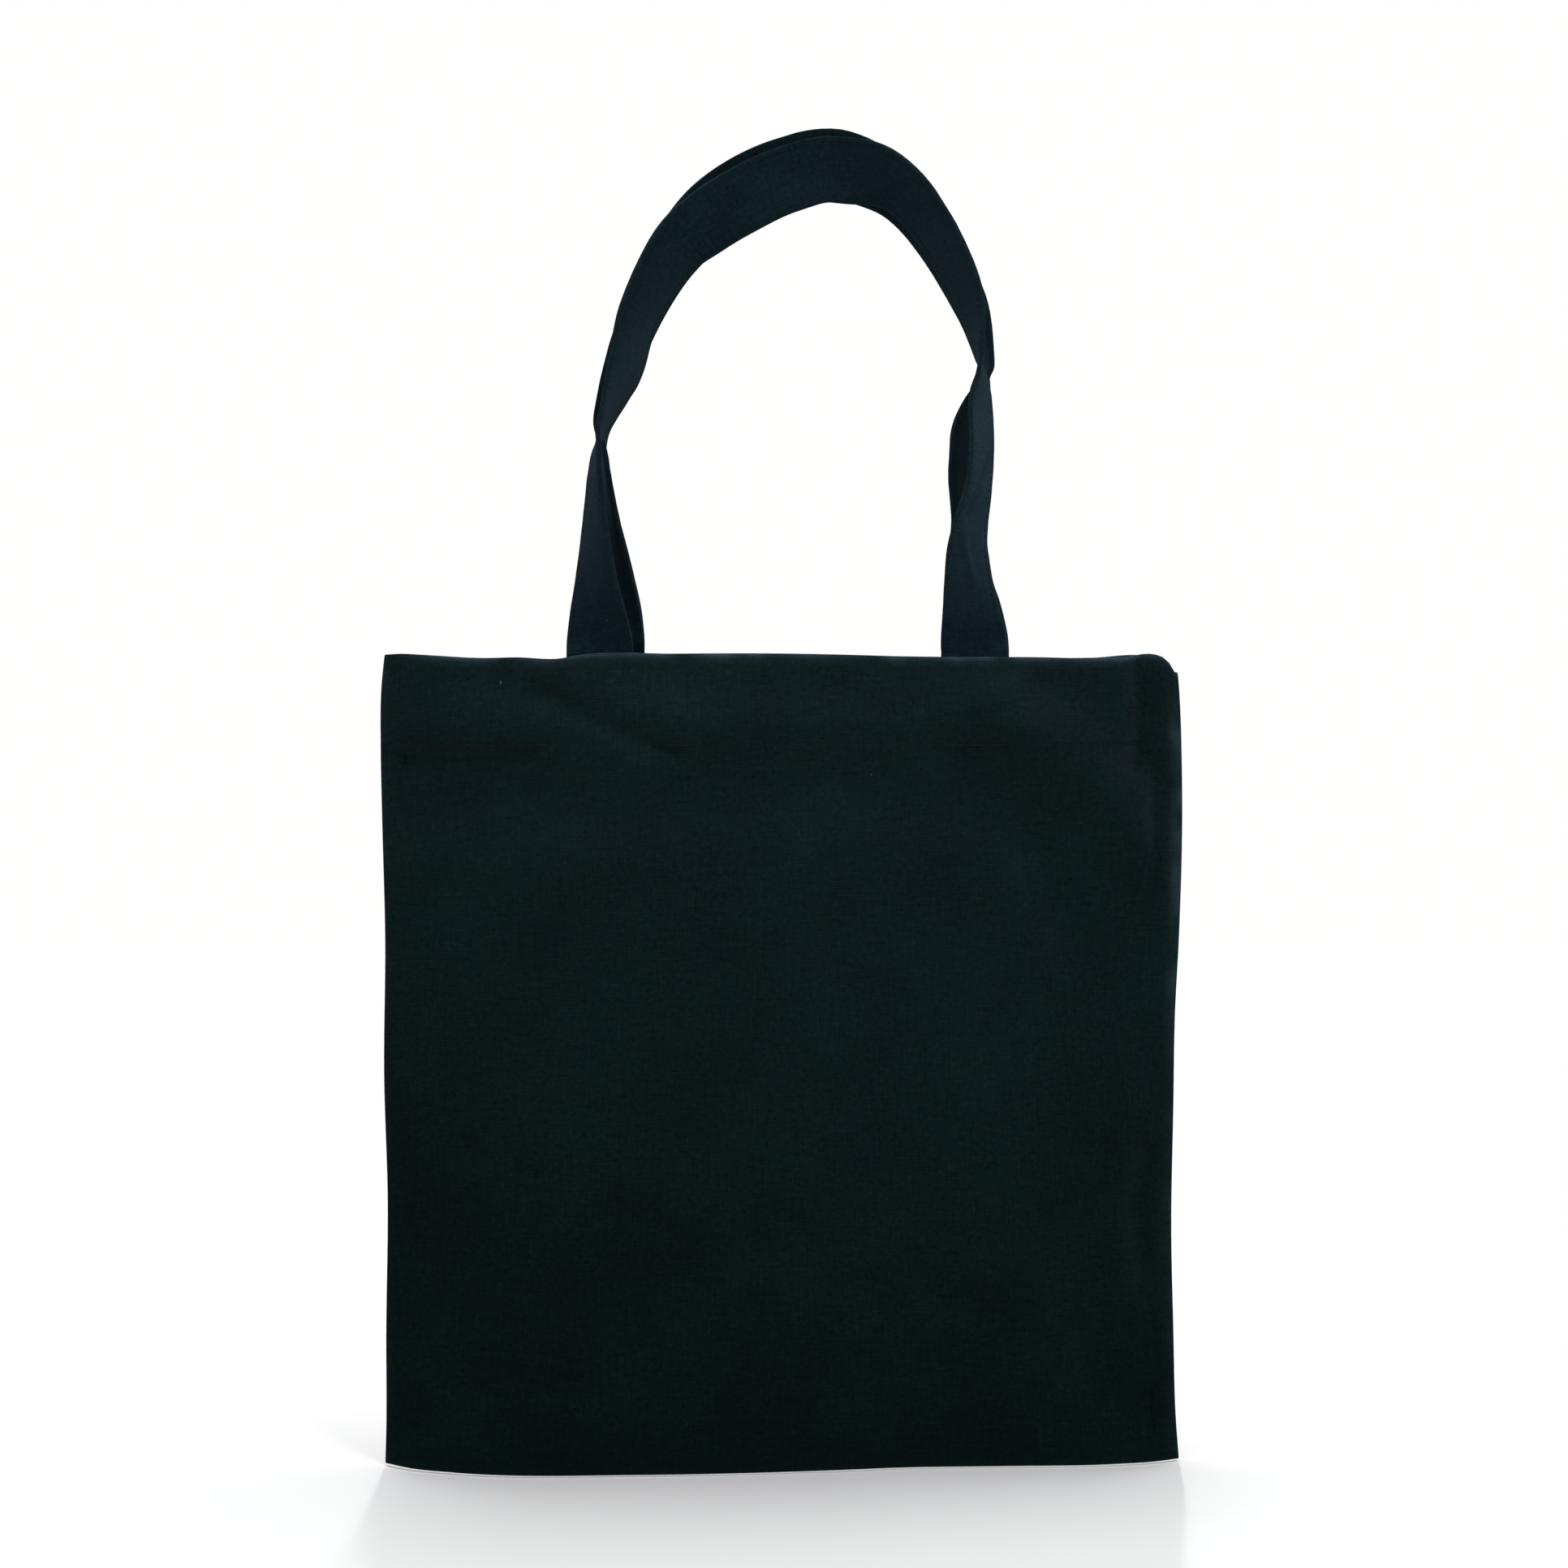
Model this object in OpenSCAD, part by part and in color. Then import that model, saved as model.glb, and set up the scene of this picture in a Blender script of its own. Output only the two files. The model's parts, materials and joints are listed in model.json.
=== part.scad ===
// Canvas tote bag: two sewn panels with a turned-in hem, and two strap handles.
// The handles stand up in twisted loops, as they do while the bag hangs from a hook.
// +Z is up, +X is to the right seen from the front, and the front faces -Y.
// The origin is the top of the hand opening, where a hook or a hand carries the bag.

/* [Bag] */
// Width of the bag across its side seams
bag_w = 380; // [350:5:410]
// Height of the bag from its mouth to its bottom seam
bag_h = 390; // [360:5:420]
// Thickness of one layer of canvas
canvas_t = 0.9; // [0.7:0.1:1.1]
// Depth of the hem turned in at the mouth
hem_h = 43; // [36:1:50]
// How far each panel stands off the middle at the mouth
mouth_puff = 7; // [7:0.5:10]
// How far each panel stands off the middle at the belly
belly_puff = 11; // [9:0.5:15]
// How much higher the bottom corners are than the middle of the bottom seam
corner_lift = 6; // [2:1:10]
// Width of the seam allowance left inside the bag
seam_w = 10; // [8:1:14]

/* [Handles] */
// Width of a strap
strap_w = 32; // [28:1:34]
// Thickness of a strap, folded from four layers of canvas
strap_t = 2.6; // [2:0.1:3]
// Distance between the middles of a handle's two legs
leg_spacing = 180; // [160:5:200]
// Height of the middle of the strap over the mouth, at the top of the loop
loop_rise = 231; // [200:1:260]
// Length of the strap ends sewn inside the hem
end_h = 38; // [32:1:42]

/* [Stitching] */
// Width of a row of stitches
stitch_w = 0.8; // [0.6:0.1:1.2]
// How far the stitches stand proud of the cloth
stitch_t = 0.3; // [0.2:0.1:0.4]
// Distance of the rows of stitches from a strap's edges
strap_inset = 3; // [2:0.5:4]

/* [Hidden] */

FRONT = -1;
BACK = 1;
canvas = "#0e1d1e";
thread = "#0f1e20";

half_w = bag_w / 2;
sx = leg_spacing / 180;
sz = loop_rise / 231;
hand_drop = 208.5 * sz;
mouth_z = -hand_drop;
ply_gap = 0.1;
seam_half_t = 0.9;
hem_end = 14;
// How far the strap's middle is from the middle of the bag where it leaves the mouth
exit_y = 4.4;
// How far the far edge of a loop stays from the middle plane between the two handles
loop_clear = 1.9;
rings_per_key = 3;

// Route of each handle's middle from its left end to its right end:
// [distance to the right, height over the mouth, turn of the strap about its middle].
// Turn 0 lies flat against the panel, 90 is edge on, and 180 shows the other face.
front_route = [
    [-86, 2.5, 0], [-86.5, 12, 20], [-87.3, 24, 38], [-88, 40, 55], [-88.5, 62, 68], [-88, 84, 78],
    [-87, 97, 84], [-85, 106, 94], [-81.5, 114, 100], [-77.5, 124, 109], [-73, 136, 118], [-66.5, 160.5, 124],
    [-52, 188.5, 137], [-36.5, 204, 156], [-18.5, 216, 167], [2, 226, 176], [26, 231, 180], [53.5, 222.5, 134],
    [74.5, 197.5, 121], [88, 167, 113], [93, 142, 92], [94.2, 132, 81], [93.8, 120, 70], [94.5, 98, 69],
    [92.5, 78, 67], [89.5, 62, 60], [88, 48, 52], [88.5, 34, 43], [89.5, 22, 33], [90.5, 12, 19],
    [91.5, 2.5, 0]
];
back_route = [
    [-81, 2.5, 0], [-80.7, 12, 17], [-80.5, 24, 35], [-81.5, 40, 52], [-84, 62, 66], [-85, 84, 79],
    [-85.3, 98, 86], [-86, 110, 99], [-82, 122, 109], [-76.5, 137, 117], [-67.5, 161.5, 122], [-52.5, 190, 135],
    [-35.5, 210, 158], [-17.5, 223, 168], [3, 231.5, 176], [26, 235, 180], [53, 223.5, 137], [74.5, 198.5, 122],
    [90, 169, 115], [98.3, 144, 97], [99, 134, 88], [94.5, 122, 68], [90.5, 108, 55], [90, 96, 51],
    [90, 84, 49], [90, 64, 58], [89.5, 48, 50], [90, 34, 41], [92, 22, 31], [92.5, 12, 16],
    [92.5, 2.5, 0]
];

// Lowest point of the bag at x: the bottom seam is a shallow curve
function bottom_z(x) = mouth_z - bag_h + corner_lift * pow(x / half_w, 2);

// How far a panel's inner face stands off the seams: pinched at the sides and the bottom
function puff(x, z) =
    let (
        u = min(1, abs(x) / half_w),
        v = max(0, min(1, (mouth_z - z) / (mouth_z - bottom_z(x)))),
        across = pow(1 - u * u, 0.7),
        down = mouth_puff + (belly_puff - mouth_puff) * sin(180 * pow(v, 0.8))
    )
    across * down * (1 - pow(v, 6));

// A point on the layer at depth d outside the panel's inner face
function on_bag(side, x, z, d) = [x, side * (seam_half_t + puff(x, z) + d), z];

// Triangles that close the end of a tube, across a ring that starts at point a
function cap_faces(a, points, first) =
    [for (j = [0 : points / 2 - 2])
        let (p = a + j, q = p + 1, r = a + points - 2 - j, s = r + 1)
        each first ? [[p, r, q], [p, s, r]] : [[p, q, r], [p, r, s]]];

// Triangles of a closed tube of rings, each with the same even number of points
function tube_faces(rings, points) = concat(
    [for (i = [0 : rings - 2], j = [0 : points - 1])
        let (k = (j + 1) % points, a = i * points)
        each [[a + j, a + k, a + points + k], [a + j, a + points + k, a + points + j]]],
    cap_faces(0, points, true),
    cap_faces((rings - 1) * points, points, false)
);

// A ring mirrored to the back runs the other way round, which keeps its solid right side out
function facing(side, ring) = side == FRONT ? ring : [for (i = [len(ring) - 1 : -1 : 0]) ring[i]];

// A closed sheet of cloth between depths d0 and d1, from height top to the function's bottom
module sheet(side, x0, x1, top, low, follow_bottom, d0, d1, columns, rows) {
    rings = [for (i = [0 : columns])
        let (
            x = x0 + (x1 - x0) * i / columns,
            base = follow_bottom ? bottom_z(x) : low,
            heights = [for (j = [0 : rows]) top + (base - top) * j / rows]
        )
        facing(side, concat(
            [for (z = heights) on_bag(side, x, z, d1)],
            [for (j = [rows : -1 : 0]) on_bag(side, x, heights[j], d0)]
        ))
    ];
    polyhedron(points = [for (r = rings) each r], faces = tube_faces(columns + 1, 2 * rows + 2));
}

// A row of stitches from a to b, each [x, z], standing stitch_t proud of depth d
module stitch_row(side, a, b, d, outward, steps = 1) {
    run = (b - a) / norm(b - a);
    across = [-run[1], run[0]] * stitch_w / 2;
    d1 = d + outward * stitch_t;
    rings = [for (i = [0 : steps])
        let (p = a + (b - a) * i / steps, l = p - across, r = p + across)
        facing(side * outward, [
            on_bag(side, l[0], l[1], d), on_bag(side, l[0], l[1], d1),
            on_bag(side, r[0], r[1], d1), on_bag(side, r[0], r[1], d)
        ])
    ];
    polyhedron(points = [for (r = rings) each r], faces = tube_faces(steps + 1, 4));
}

// Catmull-Rom curve through a route's points
function between(a, b, c, d, t) =
    0.5 * (2 * b + (c - a) * t + (2 * a - 5 * b + 4 * c - d) * t * t + (3 * b - a - 3 * c + d) * t * t * t);
function along(route, s) =
    let (
        last = len(route) - 1,
        i = min(floor(s), last - 1),
        before = i == 0 ? 2 * route[0] - route[1] : route[i - 1],
        after = i == last - 1 ? 2 * route[last] - route[last - 1] : route[i + 2]
    )
    between(before, route[i], route[i + 1], after, s - i);

// A point on a strap: w along its width, n along its thickness
function on_strap(side, route, s, w, n) =
    let (
        p = along(route, s),
        step = 0.05,
        ahead = along(route, min(len(route) - 1, s + step)) - along(route, max(0, s - step)),
        run = [ahead[0] * sx, ahead[1] * sz] / norm([ahead[0] * sx, ahead[1] * sz]),
        turn = p[2],
        near_exit = max(0, 1 - p[1] / 60),
        middle_y = loop_clear + (exit_y - loop_clear) * near_exit + strap_w / 2 * abs(sin(turn)),
        w_out = -w * cos(turn) - n * sin(turn),
        w_back = -w * sin(turn) + n * cos(turn)
    )
    [
        p[0] * sx - run[1] * w_out,
        side * middle_y + w_back,
        mouth_z + p[1] * sz + run[0] * w_out
    ];

// A flat band along a strap's route, from widths w0 to w1 and thicknesses n0 to n1
module band(side, route, w0, w1, n0, n1) {
    count = (len(route) - 1) * rings_per_key;
    rings = [for (i = [0 : count])
        let (s = i / rings_per_key)
        [
            on_strap(side, route, s, w0, n0), on_strap(side, route, s, w1, n0),
            on_strap(side, route, s, w1, n1), on_strap(side, route, s, w0, n1)
        ]
    ];
    polyhedron(points = [for (r = rings) each r], faces = tube_faces(count + 1, 4));
}

// The two halves of the bag, pinched together at the side and bottom seams
module panel(side) {
    color(canvas)
        sheet(side, -half_w, half_w, mouth_z, 0, true, 0, canvas_t, 20, 16);
}
module front_panel() panel(FRONT);
module back_panel() panel(BACK);

// The cloth turned in at the mouth, lying on the inside of its panel
module hem(side) {
    color(canvas)
        sheet(side, -half_w + hem_end, half_w - hem_end, mouth_z, mouth_z - hem_h, false,
              -ply_gap - canvas_t, -ply_gap, 16, 2);
}
module front_hem() hem(FRONT);
module back_hem() hem(BACK);

// The row of stitches outside that holds the hem
hem_inset = 2;
module hem_stitching(side) {
    z = mouth_z - hem_h + hem_inset;
    color(thread)
        stitch_row(side, [-half_w + hem_end, z], [half_w - hem_end, z], canvas_t, 1, 16);
}
module front_hem_stitching() hem_stitching(FRONT);
module back_hem_stitching() hem_stitching(BACK);

// The two cloth edges left inside along a side seam, and the thread over their raw edge
hem_gap = 2;
corner_gap = 12;
edge_gap = 0.6;
side_top = mouth_z - hem_h - hem_gap;
side_low = mouth_z - bag_h + corner_lift + seam_w + corner_gap;
seam_edge = half_w - edge_gap;
allow_t = 1.6;
lock_w = 3;
lock_t = 0.2;

module side_allowance(hand) {
    color(canvas)
        translate([hand * (seam_edge - seam_w / 2), 0, (side_top + side_low) / 2])
            cube([seam_w, allow_t, side_top - side_low], center = true);
}
module left_seam_allowance() side_allowance(-1);
module right_seam_allowance() side_allowance(1);

module side_overlock(hand) {
    inner = seam_edge - seam_w;
    color(thread)
        translate([0, 0, side_low])
            linear_extrude(side_top - side_low)
                difference() {
                    translate([hand * (inner + lock_w / 2 - lock_t), 0])
                        square([lock_w, allow_t + 2 * lock_t], center = true);
                    translate([hand * (inner + lock_w), 0])
                        square([2 * lock_w, allow_t], center = true);
                }
}
module left_seam_overlock() side_overlock(-1);
module right_seam_overlock() side_overlock(1);

// The same along the bottom seam, which follows its curve
bottom_end = half_w - seam_w - corner_gap;
bottom_steps = 12;
bottom_xs = [for (i = [0 : bottom_steps]) -bottom_end + 2 * bottom_end * i / bottom_steps];

// A strip that follows the bottom seam, from low to high above it and t thick
module along_bottom(low, high, t) {
    rotate([90, 0, 0])
        linear_extrude(t, center = true)
            polygon(concat(
                [for (x = bottom_xs) [x, bottom_z(x) + low]],
                [for (i = [bottom_steps : -1 : 0]) [bottom_xs[i], bottom_z(bottom_xs[i]) + high]]
            ));
}
module bottom_seam_allowance() {
    color(canvas) along_bottom(edge_gap, seam_w + edge_gap, allow_t);
}
module bottom_seam_overlock() {
    top = seam_w + edge_gap;
    color(thread) {
        along_bottom(top, top + lock_t, allow_t);
        for (face = [-1, 1])
            translate([0, face * (allow_t + lock_t) / 2, 0])
                along_bottom(top + lock_t - lock_w, top + lock_t, lock_t);
    }
}

// The ends of the handle straps, sewn flat on the inside of the hem
end_out = -2 * ply_gap - canvas_t;
end_in = end_out - strap_t;
function leg_x(side, hand) =
    let (route = side == FRONT ? front_route : back_route)
    sx * (hand < 0 ? route[0][0] : route[len(route) - 1][0]);

module strap_end(side, hand) {
    x = leg_x(side, hand);
    color(canvas)
        sheet(side, x - strap_w / 2, x + strap_w / 2, mouth_z, mouth_z - end_h, false,
              end_in, end_out, 4, 3);
}
module front_left_strap_end() strap_end(FRONT, -1);
module front_right_strap_end() strap_end(FRONT, 1);
module back_left_strap_end() strap_end(BACK, -1);
module back_right_strap_end() strap_end(BACK, 1);

// A square of stitches with a cross in it, which sews a strap end to the hem
box_drop = 5;
box_rise = 4;
module box_stitch(side, hand) {
    x = leg_x(side, hand);
    r = strap_w / 2 - strap_inset;
    top = mouth_z - box_drop;
    low = mouth_z - end_h + box_rise;
    corners = [[x - r, top], [x + r, top], [x + r, low], [x - r, low]];
    color(thread)
        union() {
            for (i = [0 : 3]) stitch_row(side, corners[i], corners[(i + 1) % 4], end_in, -1, 3);
            for (i = [0, 1]) stitch_row(side, corners[i], corners[i + 2], end_in, -1, 3);
        }
}
module front_left_box_stitch() box_stitch(FRONT, -1);
module front_right_box_stitch() box_stitch(FRONT, 1);
module back_left_box_stitch() box_stitch(BACK, -1);
module back_right_box_stitch() box_stitch(BACK, 1);

// The free loops of the two handles, and the rows of stitches along their edges
module front_handle() {
    color(canvas) band(FRONT, front_route, -strap_w / 2, strap_w / 2, -strap_t / 2, strap_t / 2);
}
module back_handle() {
    color(canvas) band(BACK, back_route, -strap_w / 2, strap_w / 2, -strap_t / 2, strap_t / 2);
}
module handle_stitching(side, route) {
    row = strap_w / 2 - strap_inset;
    deep = strap_t / 2 + stitch_t;
    color(thread)
        for (edge = [-1, 1])
            band(side, route, edge * row - stitch_w / 2, edge * row + stitch_w / 2, -deep, deep);
}
module front_handle_stitching() handle_stitching(FRONT, front_route);
module back_handle_stitching() handle_stitching(BACK, back_route);

front_panel();
back_panel();
front_hem();
back_hem();
left_seam_allowance();
right_seam_allowance();
bottom_seam_allowance();
left_seam_overlock();
right_seam_overlock();
bottom_seam_overlock();
front_hem_stitching();
back_hem_stitching();
front_left_strap_end();
front_right_strap_end();
back_left_strap_end();
back_right_strap_end();
front_left_box_stitch();
front_right_box_stitch();
back_left_box_stitch();
back_right_box_stitch();
front_handle();
back_handle();
front_handle_stitching();
back_handle_stitching();
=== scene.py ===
"""Looks of the canvas tote bag: its cloth with hems and seams, its straps, every stitch, and the studio."""

import json

import bmesh
import bpy
import numpy as np
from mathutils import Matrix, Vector


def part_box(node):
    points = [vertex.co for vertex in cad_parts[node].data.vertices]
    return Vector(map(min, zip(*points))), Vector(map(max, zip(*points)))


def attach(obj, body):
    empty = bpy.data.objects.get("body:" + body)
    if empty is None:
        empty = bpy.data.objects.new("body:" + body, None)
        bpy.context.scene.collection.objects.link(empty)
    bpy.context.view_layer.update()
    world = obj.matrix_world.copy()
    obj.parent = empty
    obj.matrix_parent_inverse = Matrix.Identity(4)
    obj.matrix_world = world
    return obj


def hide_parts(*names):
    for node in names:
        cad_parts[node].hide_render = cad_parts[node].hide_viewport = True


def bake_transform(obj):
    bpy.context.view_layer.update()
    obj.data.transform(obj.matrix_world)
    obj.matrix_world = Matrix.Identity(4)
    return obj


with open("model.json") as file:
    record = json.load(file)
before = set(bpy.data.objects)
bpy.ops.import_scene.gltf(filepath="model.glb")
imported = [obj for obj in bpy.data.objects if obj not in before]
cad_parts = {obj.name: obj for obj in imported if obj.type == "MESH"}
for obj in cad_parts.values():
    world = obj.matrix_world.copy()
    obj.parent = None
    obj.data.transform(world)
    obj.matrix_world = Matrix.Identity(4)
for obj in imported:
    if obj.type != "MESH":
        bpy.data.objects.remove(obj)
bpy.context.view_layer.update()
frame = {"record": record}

# Shapes are worked out in millimetres and become metres when a mesh is made.
MM = 0.001
FRONT = -1
BACK = 1


def node_box(node):
    """Lowest and highest corner of a CAD node, in millimetres."""
    low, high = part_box(node)
    return np.array(low) / MM, np.array(high) / MM


# Sizes that the frame gives
panel_low, panel_high = node_box("front_panel")
hem_low = node_box("front_hem")[0]
allowance_low, allowance_high = node_box("left_seam_allowance")
end_low, end_high = node_box("front_left_strap_end")
HALF_W = panel_high[0]
MOUTH_Z = panel_high[2]
BAG_H = MOUTH_Z - panel_low[2]
HEM_H = MOUTH_Z - hem_low[2]
SEAM_W = allowance_high[0] - allowance_low[0]
STRAP_W = end_high[0] - end_low[0]
END_H = MOUTH_Z - end_low[2]

# Cloth: one layer, the gap between two, a strap, the grid of points, and how far the panels puff out
PLY = 0.9
PLY_GAP = 0.06
STRAP_T = 2.6
GRID = 3.0
MOUTH_PUFF = 7.0
BELLY_PUFF = 11.0

# Thread: its radius, the length of a stitch and of the gap to the next, and where the rows lie
THREAD_R = 0.26
STITCH_PITCH = 3.1
STITCH_GAP = 0.5
STITCH_SIDES = 6
STRAP_INSET = 3.0
HEM_INSET = 2.0
HEM_END = 4.0
# Top of the box stitch below the mouth, and its bottom above the strap's end
BOX_DROP = 5.0
BOX_RISE = 4.0

# Outlines of the bag, seen from the front: [depth below the mouth, x] down the two sides
LEFT_EDGE = [
    [0, -188.8], [14, -190.2], [45, -190.6], [75, -190], [135, -188.5], [200, -189], [260, -187.3],
    [325, -188], [375, -188], [390, -188.4],
]
RIGHT_EDGE = [
    [0, 188.5], [14, 189.3], [45, 190.3], [75, 190.6], [135, 189], [170, 187.2], [215, 186.4],
    [275, 185.4], [325, 186.4], [370, 187.6], [390, 189],
]
# and [x, rise over the mouth] or [x, rise over the lowest point] along the top and the bottom
FRONT_TOP = [
    [-190, 0.6], [-184, 0.9], [-174, 0.4], [-143, -1.2], [-128, -0.9], [-106, -1.5], [-99, -0.2], [-50, 0.8],
    [27, 0.4], [57, -0.4], [119, -0.8], [166, -0.7], [179, 0.8], [184, -0.6], [188, -4.5], [190, -8],
]
BACK_TOP = [
    [-190, 0.2], [-150, -1.4], [-100, -1.8], [-40, -0.6], [30, -1.2], [90, -1.4], [150, -0.8],
    [180, -0.5], [185, -2], [190, -8],
]
BOTTOM = [
    [-190, 5.6], [-180, 3.4], [-159, 1.2], [-66, 0], [-20, 0.8], [27, 2.3], [57, 3.5], [104, 4.2],
    [160, 5.2], [181, 6.6], [190, 7.8],
]

# Folds pressed or pulled into the cloth: points [x, depth below the mouth], width and height outward
FRONT_FOLDS = [
    ([[-186, 32], [-120, 33], [-40, 31], [50, 32], [110, 28]], 13, 3.6),
    ([[-114, 17], [-100, 26], [-78, 36], [-50, 46]], 5, -4.2),
    ([[-112, 4], [-92, 12], [-50, 27]], 9, 2.6),
    ([[-188, 48], [-160, 50], [-120, 48]], 6, -4.0),
    ([[104, 24], [146, 56], [182, 104]], 17, 8.0),
    ([[84, 50], [118, 88], [144, 140]], 17, -5.0),
    ([[172, 3], [174, 26], [169, 52]], 5, -5.5),
    ([[178, 50], [178, 78], [177, 108]], 3.5, -3.2),
    ([[186, 8], [187, 60], [185, 130]], 5, 2.6),
    ([[92, 30], [112, 24], [124, 12]], 6, -3.2),
    ([[-172, 96], [-120, 102], [-60, 96]], 16, 3.4),
    ([[-150, 64], [-70, 70], [20, 64], [80, 68]], 16, -4.6),
    ([[179, 236], [173, 264], [177, 294]], 5, -2.6),
    ([[168, 240], [163, 266], [168, 300]], 8, 2.0),
    ([[-88, 50], [-96, 120], [-104, 220]], 22, 3.0),
    ([[90, 60], [84, 150], [92, 250]], 26, 2.4),
    ([[-80, 270], [-40, 330]], 34, -3.4),
    ([[0, 110], [8, 240]], 40, 3.0),
    ([[-186, 372], [-150, 352]], 9, -1.6),
    ([[184, 372], [150, 340]], 12, -2.2),
]
BACK_FOLDS = [
    ([[-168, 30], [-140, 66], [-128, 110]], 10, 1.3),
    ([[-150, 25], [-118, 70], [-104, 120]], 11, -0.8),
    ([[120, 18], [96, 30], [60, 44]], 5, -1.0),
    ([[184, 44], [140, 46]], 4.5, -0.7),
    ([[-176, 150], [-172, 190], [-178, 230]], 5, -1.0),
    ([[92, 52], [100, 130], [104, 220]], 20, 0.9),
    ([[-90, 52], [-84, 150], [-92, 240]], 22, 0.8),
    ([[30, 200], [-30, 300]], 38, -1.1),
    ([[182, 368], [146, 346]], 10, -0.8),
    ([[-184, 372], [-148, 344]], 10, -0.8),
]

FOLDS = {FRONT: FRONT_FOLDS, BACK: BACK_FOLDS}

# Route of each strap's middle, as in the CAD: [x, height over the mouth, turn about its middle in degrees]
FRONT_ROUTE = [
    [-86, 2.5, 0], [-86.5, 12, 20], [-87.3, 24, 38], [-88, 40, 55], [-88.5, 62, 68],
    [-88, 84, 78], [-87, 97, 84], [-85, 106, 94], [-81.5, 114, 100], [-77.5, 124, 109],
    [-73, 136, 118], [-66.5, 160.5, 124], [-52, 188.5, 137], [-36.5, 204, 156], [-18.5, 216, 167],
    [2, 226, 176], [26, 231, 180], [53.5, 222.5, 134], [74.5, 197.5, 121], [88, 167, 113],
    [93, 142, 92], [94.2, 132, 81], [93.8, 120, 70], [94.5, 98, 69], [92.5, 78, 67],
    [89.5, 62, 60], [88, 48, 52], [88.5, 34, 43], [89.5, 22, 33], [90.5, 12, 19],
    [91.5, 2.5, 0],
]
BACK_ROUTE = [
    [-81, 2.5, 0], [-80.7, 12, 17], [-80.5, 24, 35], [-81.5, 40, 52], [-84, 62, 66],
    [-85, 84, 79], [-85.3, 98, 86], [-86, 110, 99], [-82, 122, 109], [-76.5, 137, 117],
    [-67.5, 161.5, 122], [-52.5, 190, 135], [-35.5, 210, 158], [-17.5, 223, 168], [3, 231.5, 176],
    [26, 235, 180], [53, 223.5, 137], [74.5, 198.5, 122], [90, 169, 115], [98.3, 144, 97],
    [99, 134, 88], [94.5, 122, 68], [90.5, 108, 55], [90, 96, 51], [90, 84, 49],
    [90, 64, 58], [89.5, 48, 50], [90, 34, 41], [92, 22, 31], [92.5, 12, 16],
    [92.5, 2.5, 0],
]

# Creases in the straps: leg (-1 left, 1 right), points [place across, height over the mouth], width, height
FRONT_CREASES = [
    (1, [[-7, 92], [7, 66]], 2.0, 1.2),
    (1, [[7, 56], [-3, 34]], 3.0, -0.8),
    (-1, [[-8, 34], [1, 16]], 3.0, 0.9),
    (-1, [[10, 216], [-10, 226]], 3.5, 0.8),
    (1, [[-10, 238], [12, 214]], 6.0, -1.0),
]
BACK_CREASES = [
    (-1, [[-6, 92], [8, 70]], 2.4, 1.0),
    (1, [[6, 40], [-4, 22]], 3.0, -0.8),
]
CREASES = {FRONT: FRONT_CREASES, BACK: BACK_CREASES}


# ---- Curves and smooth steps ----

def smooth_step(low, high, value):
    """0 below low, 1 above high, and smooth in between."""
    t = np.clip((value - low) / (high - low), 0, 1)
    return t * t * (3 - 2 * t)


def smooth_curve(points, at):
    """The smooth curve through [place, value] points, at the given places."""
    places, values = np.array(points, float).T
    slopes = np.gradient(values, places)
    i = np.clip(np.searchsorted(places, at) - 1, 0, len(places) - 2)
    span = places[i + 1] - places[i]
    t = np.clip((at - places[i]) / span, 0, 1)
    start = (2 * t**3 - 3 * t**2 + 1) * values[i] + (t**3 - 2 * t**2 + t) * span * slopes[i]
    end = (3 * t**2 - 2 * t**3) * values[i + 1] + (t**3 - t**2) * span * slopes[i + 1]
    return start + end


def waves(x, z, size, seed, count=28):
    """Smooth random hills about 1 high and size across."""
    rng = np.random.default_rng(seed)
    total = np.zeros(np.broadcast(x, z).shape)
    for _ in range(count):
        heading = rng.uniform(0, 2 * np.pi)
        length = size * rng.uniform(0.7, 2.2)
        phase = rng.uniform(0, 2 * np.pi)
        total += np.cos(2 * np.pi * (x * np.cos(heading) + z * np.sin(heading)) / length + phase)
    return total / np.sqrt(count / 2)


def fold(x, depth, points, width, height):
    """A ridge or a groove along a line of points, soft across and at its ends."""
    nearest = np.full(np.broadcast(x, depth).shape, np.inf)
    for a, b in zip(np.array(points[:-1], float), np.array(points[1:], float)):
        run = b - a
        t = np.clip(((x - a[0]) * run[0] + (depth - a[1]) * run[1]) / (run @ run), 0, 1)
        nearest = np.minimum(nearest, np.hypot(x - a[0] - t * run[0], depth - a[1] - t * run[1]))
    return height * np.exp(-((nearest / width) ** 2))


# ---- Meshes ----

def mesh_object(name, points, faces, uv=None, wear_and_highlight=None):
    """An object from points in millimetres. uv is each point's place in the cloth, in millimetres."""
    mesh = bpy.data.meshes.new(name)
    mesh.from_pydata((np.asarray(points) * MM).tolist(), [], faces)
    if uv is not None:
        layer = mesh.uv_layers.new(name="cloth")
        corner = np.zeros(len(mesh.loops), int)
        mesh.loops.foreach_get("vertex_index", corner)
        layer.data.foreach_set("uv", (np.asarray(uv)[corner] * MM).ravel())
    if wear_and_highlight is not None:
        attribute = mesh.attributes.new("wear_and_highlight", "FLOAT", "POINT")
        attribute.data.foreach_set("value", np.asarray(wear_and_highlight, np.float32))
    mesh.update()
    made = bpy.data.objects.new(name, mesh)
    bpy.context.scene.collection.objects.link(made)
    return made


def grid_faces(rows, columns, keep=None, closed=False):
    """Four-sided faces of a grid of points, row by row. closed joins the last column to the first."""
    faces = []
    for i in range(rows - 1):
        for j in range(columns if closed else columns - 1):
            k = (j + 1) % columns
            if keep is None or keep[i, j]:
                faces.append((i * columns + j, i * columns + k, (i + 1) * columns + k, (i + 1) * columns + j))
    return faces


def end_caps(rings, around):
    """The two faces that close a tube of rings, each with the same number of points around."""
    last = (rings - 1) * around
    return [tuple(range(around))[::-1], tuple(range(last, last + around))]


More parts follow.
